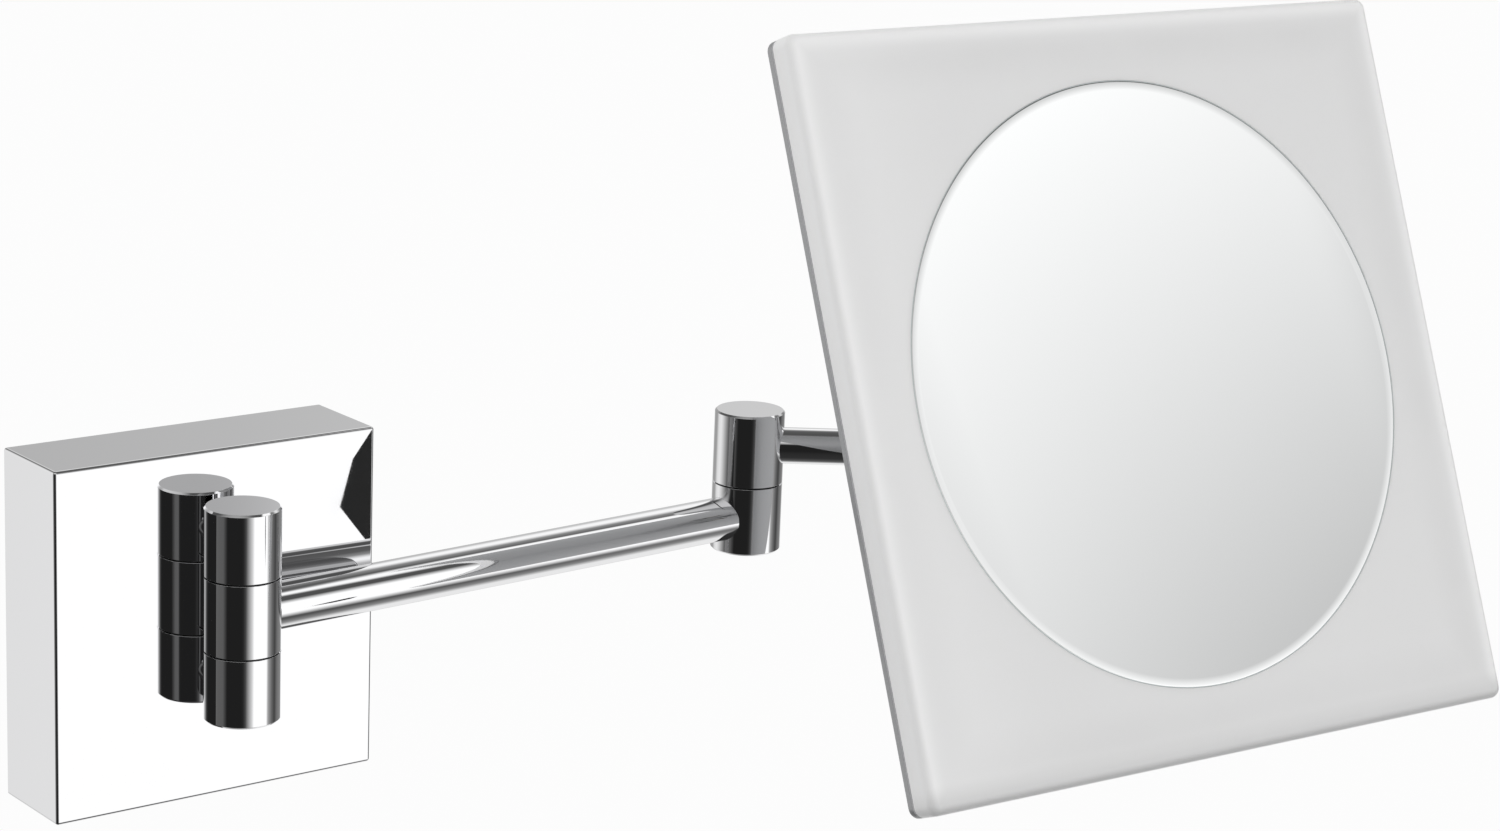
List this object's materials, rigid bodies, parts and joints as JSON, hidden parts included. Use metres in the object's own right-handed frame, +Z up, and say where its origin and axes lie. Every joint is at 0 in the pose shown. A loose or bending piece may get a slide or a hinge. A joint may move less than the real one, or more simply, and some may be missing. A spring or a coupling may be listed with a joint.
{
  "type": "extendable shaving mirror",
  "caption": "Wall-mounted magnifying mirror on a folding arm: a chrome box, a long tube, a short rod and a square frosted panel with a round concave glass that swings and tilts.",
  "frame": {"origin": "centre of the wall bracket's back face, on the wall", "axes": "+Y into the wall, so the mirror stands out towards -Y; +Z up; +X along the wall, towards the mirror at rest"},
  "size_m": [0.3801, 0.1608, 0.1914],
  "materials": {
    "chrome": "polished chrome plate on brass",
    "zinc_steel": "zinc plated sheet steel",
    "stainless_steel": "turned stainless steel",
    "bearing_bronze": "sintered bronze",
    "friction_plastic": "low friction nylon",
    "back_plate_steel": "satin grey enamel on sheet steel",
    "bonding_tape": "white acrylic foam tape",
    "frosted_panel": "frosted acrylic with a satin face",
    "adhesive": "clear grey silicone",
    "mirror_glass": "silvered concave glass"
  },
  "bodies": {
    "wall_unit": {"wall_bracket": "zinc_steel", "wall_box": "chrome", "grub_screws": "stainless_steel", "upper_post": "chrome", "lower_post": "chrome", "post_nuts": "zinc_steel", "upper_wall_knuckle": "chrome", "lower_wall_knuckle": "chrome", "wall_pin": "stainless_steel", "wall_pin_plug": "chrome", "upper_swing_washer": "friction_plastic", "lower_swing_washer": "friction_plastic"},
    "long_arm": {"arm_knuckle": "chrome", "arm_bush": "bearing_bronze", "arm_tube": "chrome", "elbow_lower_knuckle": "chrome", "elbow_bush": "bearing_bronze", "elbow_plug": "chrome", "elbow_washer": "friction_plastic"},
    "short_rod": {"elbow_upper_knuckle": "chrome", "elbow_pin": "stainless_steel", "elbow_nut": "stainless_steel", "elbow_spring": "stainless_steel", "fore_rod": "chrome", "head_lower_knuckle": "chrome", "head_bush": "bearing_bronze", "head_plug": "chrome", "head_washer": "friction_plastic"},
    "swivel": {"head_upper_knuckle": "chrome", "head_pin": "stainless_steel", "head_nut": "stainless_steel", "head_spring": "stainless_steel", "swivel_stub": "chrome", "tilt_bush": "bearing_bronze"},
    "mirror_head": {"hub": "chrome", "hub_screws": "stainless_steel", "tilt_bolt": "stainless_steel", "tilt_nut": "chrome", "tilt_washers": "friction_plastic", "back_plate": "back_plate_steel", "bonding_tape": "bonding_tape", "frosted_panel": "frosted_panel", "glass_adhesive": "adhesive", "mirror_glass": "mirror_glass"}
  },
  "joints": [
    {"name": "arm_swing", "type": "hinge", "parent": "wall_unit", "child": "long_arm", "pos_m": [0, -0.0382, 0.006], "axis": [0, 0, 1], "range_deg": [-188, 2.6]},
    {"name": "elbow_swing", "type": "hinge", "parent": "long_arm", "child": "short_rod", "pos_m": [0.16329, -0.03001, 0.0258], "axis": [0, 0, 1], "range_deg": [-37, 113]},
    {"name": "head_swing", "type": "hinge", "parent": "short_rod", "child": "swivel", "pos_m": [0.23481, -0.08078, 0.0467], "axis": [0, 0, 1], "range_deg": [-7.5, 122.5]},
    {"name": "head_tilt", "type": "hinge", "parent": "swivel", "child": "mirror_head", "pos_m": [0.23385, -0.09875, 0.0467], "axis": [-0.9986, 0.0534, 0], "range_deg": [-50, 22.5]}
  ]
}
